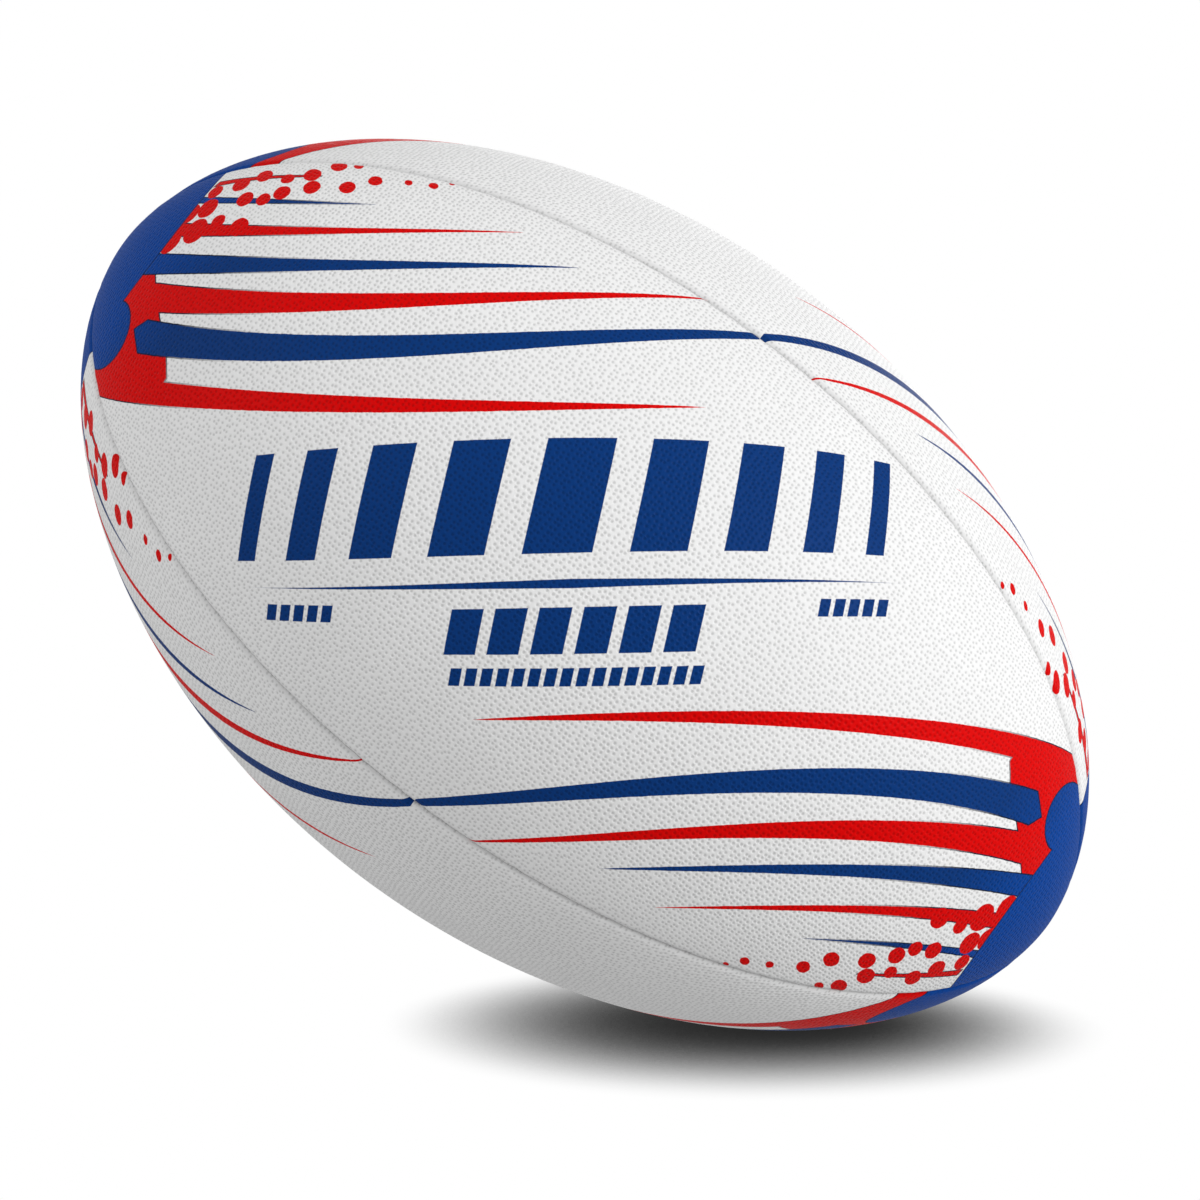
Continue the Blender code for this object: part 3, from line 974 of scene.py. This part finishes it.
def camera_axes():
    """The directions of the picture's right and top, and from the ball to the camera."""
    level = Vector((0, -math.cos(CAMERA_TILT), -math.sin(CAMERA_TILT)))
    up = Vector((0, -math.sin(CAMERA_TILT), math.cos(CAMERA_TILT)))
    back = math.sin(CAMERA_YAW) * Vector((1, 0, 0)) + math.cos(CAMERA_YAW) * level
    side = math.cos(CAMERA_YAW) * Vector((1, 0, 0)) - math.sin(CAMERA_YAW) * level
    right = math.cos(CAMERA_ROLL) * side + math.sin(CAMERA_ROLL) * up
    top = -math.sin(CAMERA_ROLL) * side + math.cos(CAMERA_ROLL) * up
    return right, top, back


def aimed(right, top, back):
    """A turn that takes X, Y and Z to these three directions."""
    return Matrix((right, top, back)).transposed().to_4x4()


def make_camera(right, top, back):
    data = bpy.data.cameras.new("camera")
    data.lens = LENS
    data.sensor_width = SENSOR_WIDTH
    data.clip_start = NEAR_CLIP
    data.clip_end = FAR_CLIP
    camera = add_piece("camera", data)
    place = back * CAMERA_DISTANCE + right * CAMERA_SHIFT[0] + top * CAMERA_SHIFT[1]
    camera.matrix_world = Matrix.Translation(place) @ aimed(right, top, back)
    bpy.context.scene.camera = camera


def floor_material():
    """White with a soft shadow where the ball is near, an even glow to it, clear below."""
    made = bpy.data.materials.new("studio_floor")
    made.use_nodes = True
    tree = made.node_tree
    tree.nodes.clear()
    path = tree.nodes.new("ShaderNodeLightPath")
    geometry = tree.nodes.new("ShaderNodeNewGeometry")
    openness = tree.nodes.new("ShaderNodeAmbientOcclusion")
    openness.samples = SHADOW_SAMPLES
    openness.inputs["Distance"].default_value = SHADOW_REACH
    opened = Term(tree, openness.outputs["AO"])
    light = ramp(opened, SHADOW_CORE, 1, SHADOW_TONE, 1, smooth=True)
    lit = tree.nodes.new("ShaderNodeEmission")
    tree.links.new(light.socket, lit.inputs["Strength"])
    glow = tree.nodes.new("ShaderNodeEmission")
    glow.inputs["Strength"].default_value = FLOOR_GLOW
    clear = tree.nodes.new("ShaderNodeBsdfTransparent")
    output = tree.nodes.new("ShaderNodeOutputMaterial")
    seen = mix_shader(tree, path.outputs["Is Camera Ray"], glow, lit)
    both = mix_shader(tree, geometry.outputs["Backfacing"], seen, clear)
    tree.links.new(both.outputs["Shader"], output.inputs["Surface"])
    return made


def mix_shader(tree, share, first, second):
    node = tree.nodes.new("ShaderNodeMixShader")
    tree.links.new(share, node.inputs["Fac"])
    tree.links.new(first.outputs[0], node.inputs[1])
    tree.links.new(second.outputs[0], node.inputs[2])
    return node


def floor_normal(top, back):
    """The picture's top, leant a little towards the camera."""
    return (math.cos(FLOOR_TILT) * top + math.sin(FLOOR_TILT) * back).normalized()


def make_floor(right, normal):
    """A plane that the ball just touches."""
    slope = math.hypot(normal.y, normal.z)
    turns = np.linspace(-LAST_TURN, LAST_TURN, PROFILE_SAMPLES)
    points = [profile(turn)[0] for turn in turns]
    lowest = min(along * normal.x - away * slope for along, away in points)
    forward = normal.cross(right)
    mesh = bpy.data.meshes.new("studio_floor")
    half = FLOOR_SIZE / 2
    corners = [(-half, -half, 0), (half, -half, 0), (half, half, 0), (-half, half, 0)]
    mesh.from_pydata(corners, [], [(0, 1, 2, 3)])
    mesh.materials.append(floor_material())
    floor = add_piece("studio_floor", mesh)
    floor.matrix_world = Matrix.Translation(normal * lowest) @ aimed(right, forward, normal)


def make_world():
    """White behind the ball, and a softer grey as light."""
    world = bpy.data.worlds.new("studio")
    bpy.context.scene.world = world
    world.use_nodes = True
    tree = world.node_tree
    background = tree.nodes["Background"]
    path = tree.nodes.new("ShaderNodeLightPath")
    bright = Term(tree, path.outputs["Is Camera Ray"]) * (1 - WORLD_LIGHT) + WORLD_LIGHT
    tree.links.new(bright.socket, background.inputs["Strength"])
    background.inputs["Color"].default_value = (1, 1, 1, 1)


# The area lights: (name, direction as right, up and towards the camera, width, power).
LIGHT_DISTANCE = 1.3
LIGHTS = (
    ("key", (0.8, 0.2, 0.55), 0.7, 11.5),
    ("fill", (-0.8, 0.4, 0.4), 0.9, 4.5),
    ("rear", (0.2, 0.3, -0.9), 1.2, 7),
)


def make_lights(right, top, back):
    for name, direction, width, power in LIGHTS:
        data = bpy.data.lights.new(name, "AREA")
        data.shape = "DISK"
        data.size = width
        data.energy = power
        light = add_piece(name, data)
        across, up, towards = Vector(direction).normalized() * LIGHT_DISTANCE
        place = right * across + top * up + back * towards
        light.matrix_world = (
            Matrix.Translation(place) @ place.to_track_quat("Z", "Y").to_matrix().to_4x4()
        )


def make_studio():
    right, top, back = camera_axes()
    make_camera(right, top, back)
    make_floor(right, floor_normal(top, back))
    make_world()
    make_lights(right, top, back)
    bpy.context.scene.view_settings.view_transform = "Standard"


make_panels()
make_valve()
finish_cad_nodes()
make_studio()
